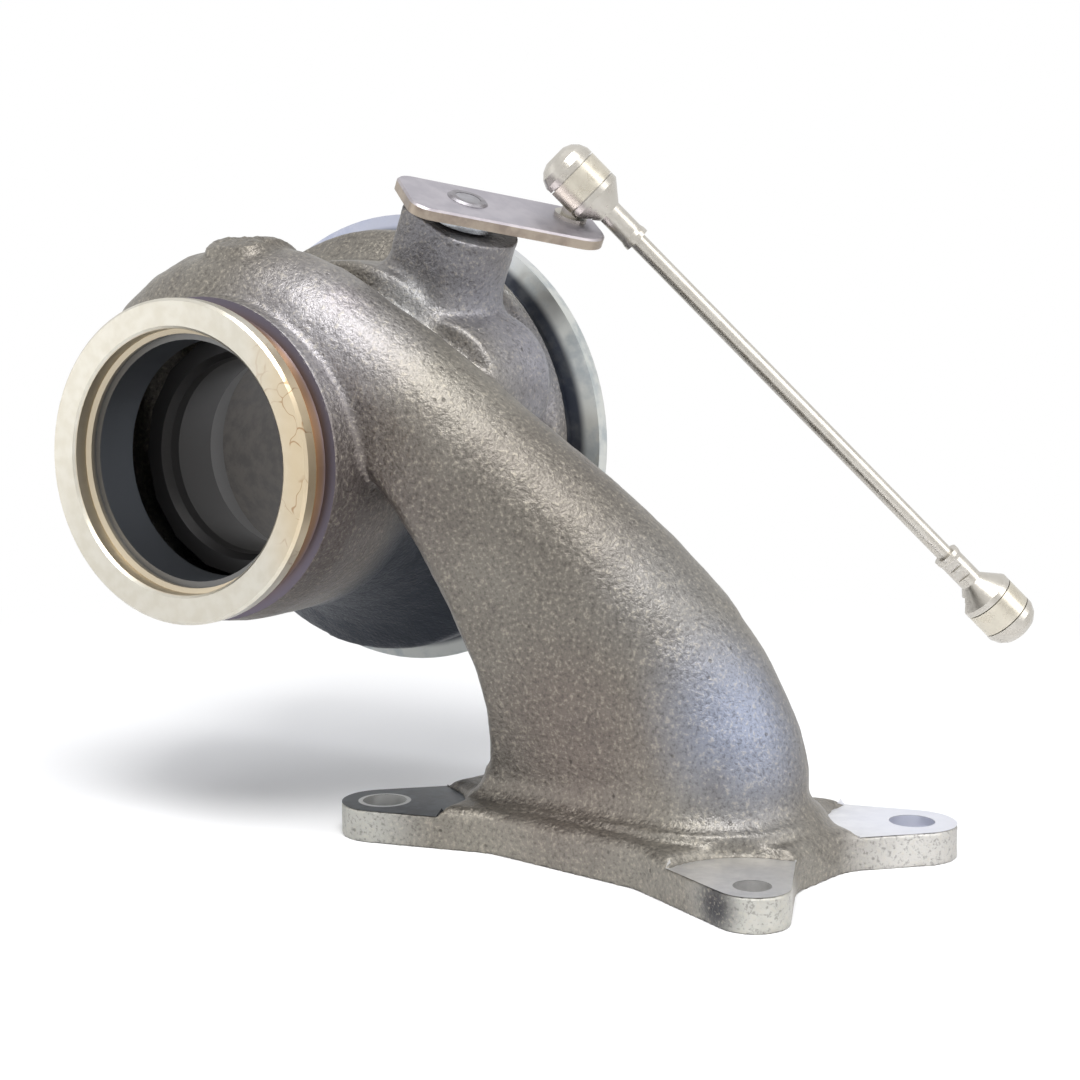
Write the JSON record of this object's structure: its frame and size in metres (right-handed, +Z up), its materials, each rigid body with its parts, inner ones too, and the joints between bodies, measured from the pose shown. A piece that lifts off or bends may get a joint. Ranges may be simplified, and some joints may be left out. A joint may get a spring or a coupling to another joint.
{
  "type": "turbocharger turbine housing",
  "caption": "Cast turbine housing with a curved inlet duct on a flat flange, a scroll, two clamping rings and an internal wastegate worked by a crank lever and a ball-jointed link rod.",
  "frame": {"origin": "centre of the bolt pattern on the gasket face of the inlet flange", "axes": "+Z up from the gasket face, +Y along the turbine axis from the centre-housing side to the outlet side, +X away from the turbine axis"},
  "size_m": [0.2373, 0.1579, 0.1731],
  "materials": {
    "casting": "sand-cast heat-resistant iron, machined rings",
    "bushing": "turned sintered bushing",
    "spring_steel": "plain spring steel",
    "shaft_steel": "ground heat-resistant steel",
    "bright_steel": "bright turned steel",
    "lever_steel": "stamped steel, heat tinted",
    "weld": "weld bead",
    "valve_alloy": "cast heat-resistant alloy",
    "plated_steel": "satin nickel plate",
    "band_steel": "satin plate with a warm tint",
    "seat_steel": "hardened steel"
  },
  "bodies": {
    "housing": {"turbine_housing": "casting", "shaft_bushing": "bushing", "thrust_washer": "bright_steel"},
    "spindle": {"wastegate_spindle": "shaft_steel", "shaft_seal_rings": "spring_steel", "crank_lever": "lever_steel", "lever_weld": "weld", "flapper_arm": "valve_alloy", "ball_stud": "plated_steel"},
    "flapper": {"flapper_valve": "valve_alloy", "flapper_spring_washer": "spring_steel", "flapper_retainer": "valve_alloy"},
    "ball_race": {"near_ball_seat": "seat_steel"},
    "link": {"link_rod": "plated_steel", "near_socket_body": "plated_steel", "near_socket_band": "band_steel", "near_socket_cap": "plated_steel", "near_seat_spring": "spring_steel", "far_socket_body": "plated_steel", "far_socket_band": "band_steel", "far_socket_cap": "plated_steel", "far_seat_spring": "spring_steel", "far_ball_seat": "seat_steel"}
  },
  "joints": [
    {"name": "wastegate_shaft", "type": "hinge", "parent": "housing", "child": "spindle", "pos_m": [-0.0578, 0.009, 0.1528], "axis": [0.4183, -0.1421, 0.8971], "range_deg": [0, 35]},
    {"name": "valve_spin", "type": "hinge", "parent": "spindle", "child": "flapper", "pos_m": [-0.05786, 0.00295, 0.11007], "axis": [0.06, 0.9899, 0.1288], "continuous": true},
    {"name": "ball_swivel", "type": "hinge", "parent": "spindle", "child": "ball_race", "pos_m": [-0.03452, 0.03068, 0.16321], "axis": [0.4183, -0.1421, 0.8971], "range_deg": [-8, 25]},
    {"name": "ball_tilt", "type": "hinge", "parent": "ball_race", "child": "link", "pos_m": [-0.03452, 0.03068, 0.16321], "axis": [0.2965, -0.9122, -0.2827], "range_deg": [-2, 12]}
  ]
}
